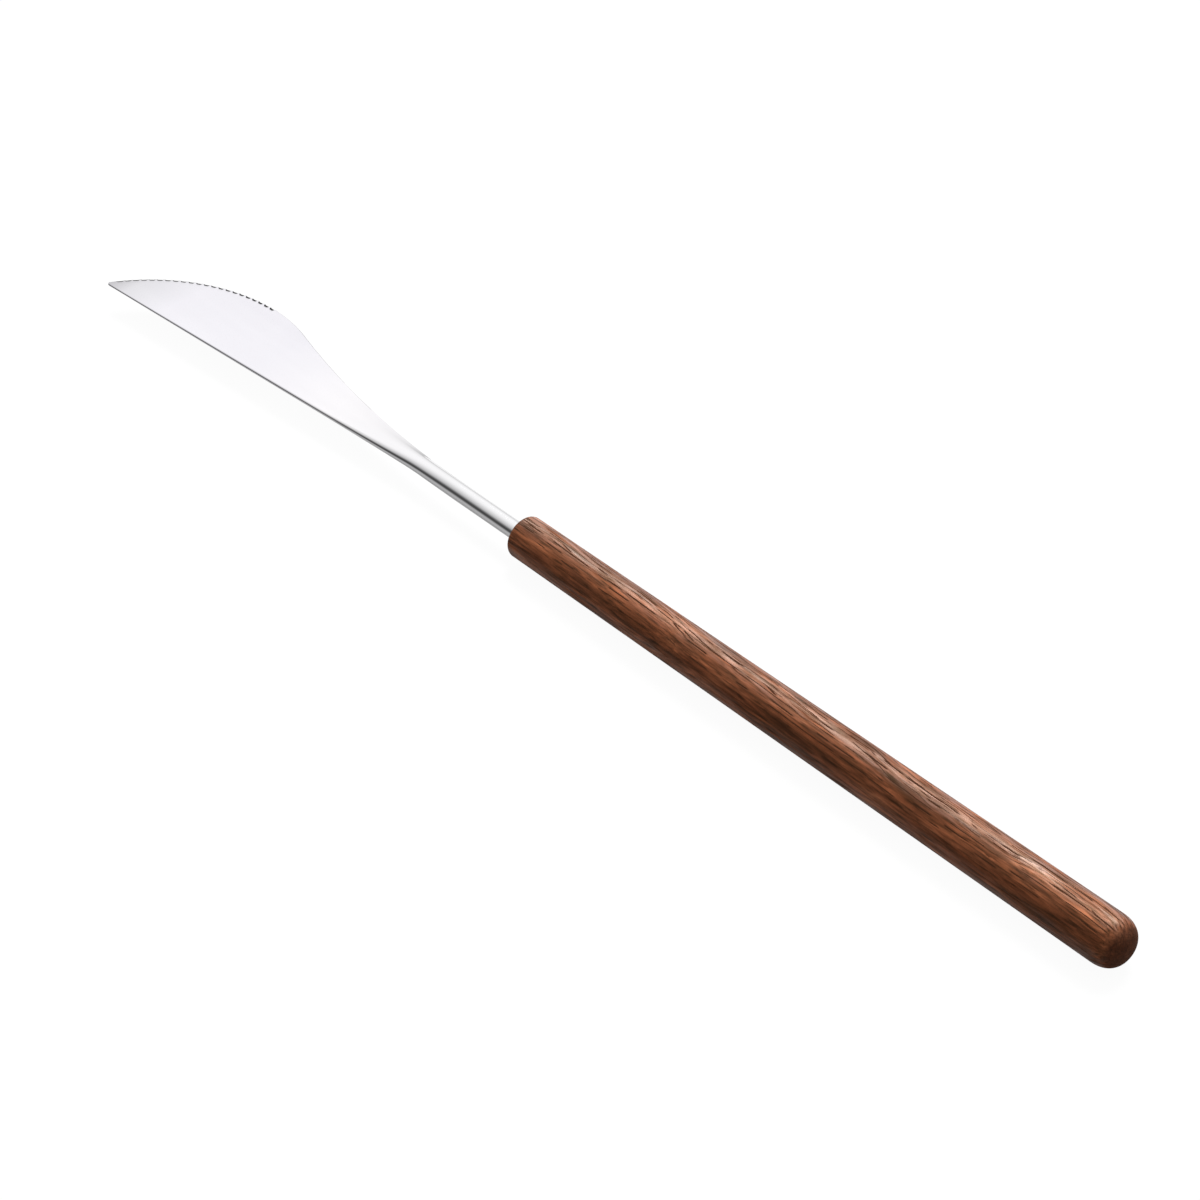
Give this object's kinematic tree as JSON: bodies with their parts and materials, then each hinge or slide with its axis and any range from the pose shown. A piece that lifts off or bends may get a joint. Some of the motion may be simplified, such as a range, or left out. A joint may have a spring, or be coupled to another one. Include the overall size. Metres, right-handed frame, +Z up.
{
  "type": "table knife",
  "caption": "Slim table knife: a pointed, finely serrated steel blade on a round neck, set in a turned, slightly tapered wooden handle with a domed butt.",
  "frame": {"origin": "centre of the knife's footprint, on the ground plane under the lowest line of the handle", "axes": "+X along the handle axis from the blade tip to the butt, +Y from the spine to the cutting edge, +Z up from the upper blade face"},
  "size_m": [0.23, 0.0164, 0.0084],
  "materials": {
    "steel": "mirror-polished stainless steel",
    "wood": "satin oiled hardwood",
    "adhesive": "cured adhesive"
  },
  "bodies": {
    "root": {"blade": "steel", "handle": "wood", "tang_adhesive": "adhesive"}
  },
  "joints": []
}
